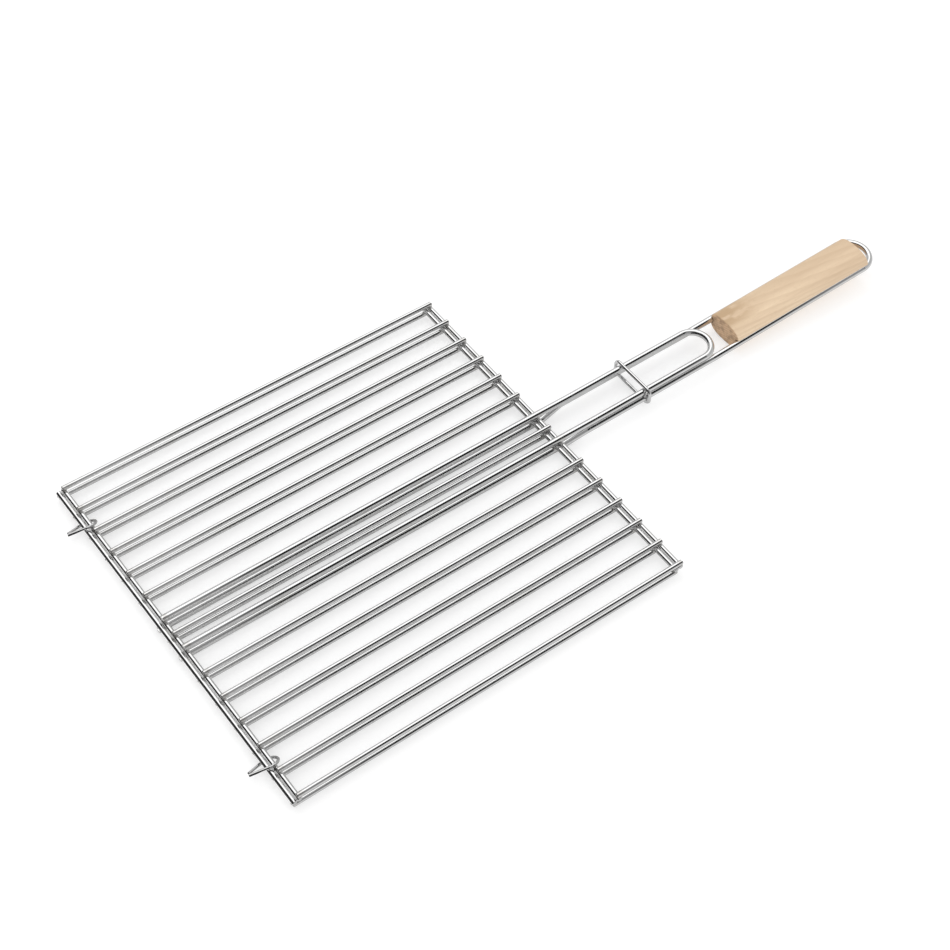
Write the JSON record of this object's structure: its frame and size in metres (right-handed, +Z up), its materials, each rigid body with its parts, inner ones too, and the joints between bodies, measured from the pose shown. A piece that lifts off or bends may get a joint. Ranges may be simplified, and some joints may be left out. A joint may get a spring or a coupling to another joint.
{
  "type": "grill basket",
  "caption": "Hinged wire grill basket: two flat grates of parallel rods, a long looped wire handle with a wooden grip, and a sliding ring that locks the handles.",
  "frame": {"origin": "centre of the two grates' footprint, on the surface the basket rests on", "axes": "+X runs along the rods towards the grip and the hang loop, +Z is up, out of the upper grate"},
  "size_m": [0.697, 0.3204, 0.0292],
  "materials": {
    "bright_wire": "bright plated wire, drawn",
    "ring_wire": "bright plated thin wire",
    "clip_wire": "bright plated thin wire",
    "grip_wood": "sanded pale hardwood, unvarnished"
  },
  "bodies": {
    "lower_grate": {"lower_rod_1": "bright_wire", "lower_rod_2": "bright_wire", "lower_rod_3": "bright_wire", "lower_rod_4": "bright_wire", "lower_rod_5": "bright_wire", "lower_rod_6": "bright_wire", "lower_rod_7": "bright_wire", "lower_rod_8": "bright_wire", "lower_rod_9": "bright_wire", "lower_rod_10": "bright_wire", "lower_rod_11": "bright_wire", "lower_rod_12": "bright_wire", "lower_rod_13": "bright_wire", "lower_front_cross_wire": "bright_wire", "lower_rear_cross_wire": "bright_wire", "lower_handle_wire": "bright_wire", "wood_grip": "grip_wood"},
    "upper_grate": {"upper_rod_1": "bright_wire", "upper_rod_2": "bright_wire", "upper_rod_3": "bright_wire", "upper_rod_4": "bright_wire", "upper_rod_5": "bright_wire", "upper_rod_6": "bright_wire", "upper_rod_7": "bright_wire", "upper_rod_8": "bright_wire", "upper_rod_9": "bright_wire", "upper_rod_10": "bright_wire", "upper_rod_11": "bright_wire", "upper_rod_12": "bright_wire", "upper_rod_13": "bright_wire", "upper_front_cross_wire": "bright_wire", "upper_rear_cross_wire": "bright_wire", "upper_handle_wire": "bright_wire"},
    "hinge_clip_left": {"hinge_clip_left": "clip_wire"},
    "hinge_clip_right": {"hinge_clip_right": "clip_wire"},
    "lock_ring": {"lock_ring": "ring_wire"}
  },
  "joints": [
    {"name": "grate_open", "type": "hinge", "parent": "lower_grate", "child": "upper_grate", "pos_m": [-0.17055, 0, 0.0072], "axis": [0, -1, 0], "range_deg": [0, 180]},
    {"name": "clip_left_turn", "type": "hinge", "parent": "lower_grate", "child": "hinge_clip_left", "pos_m": [-0.17055, 0.12145, 0.0072], "axis": [0, -1, 0], "range_deg": [0, 180]},
    {"name": "clip_right_turn", "type": "hinge", "parent": "lower_grate", "child": "hinge_clip_right", "pos_m": [-0.17055, -0.12415, 0.0072], "axis": [0, -1, 0], "range_deg": [0, 180]},
    {"name": "ring_slide", "type": "slide", "parent": "lower_grate", "child": "lock_ring", "axis": [0.9998, 0, 0.0174], "range_m": [0, 0.088]}
  ],
  "couplings": [
    {"joint": "clip_left_turn", "follows": "grate_open", "ratio": 1},
    {"joint": "clip_right_turn", "follows": "grate_open", "ratio": 1}
  ]
}
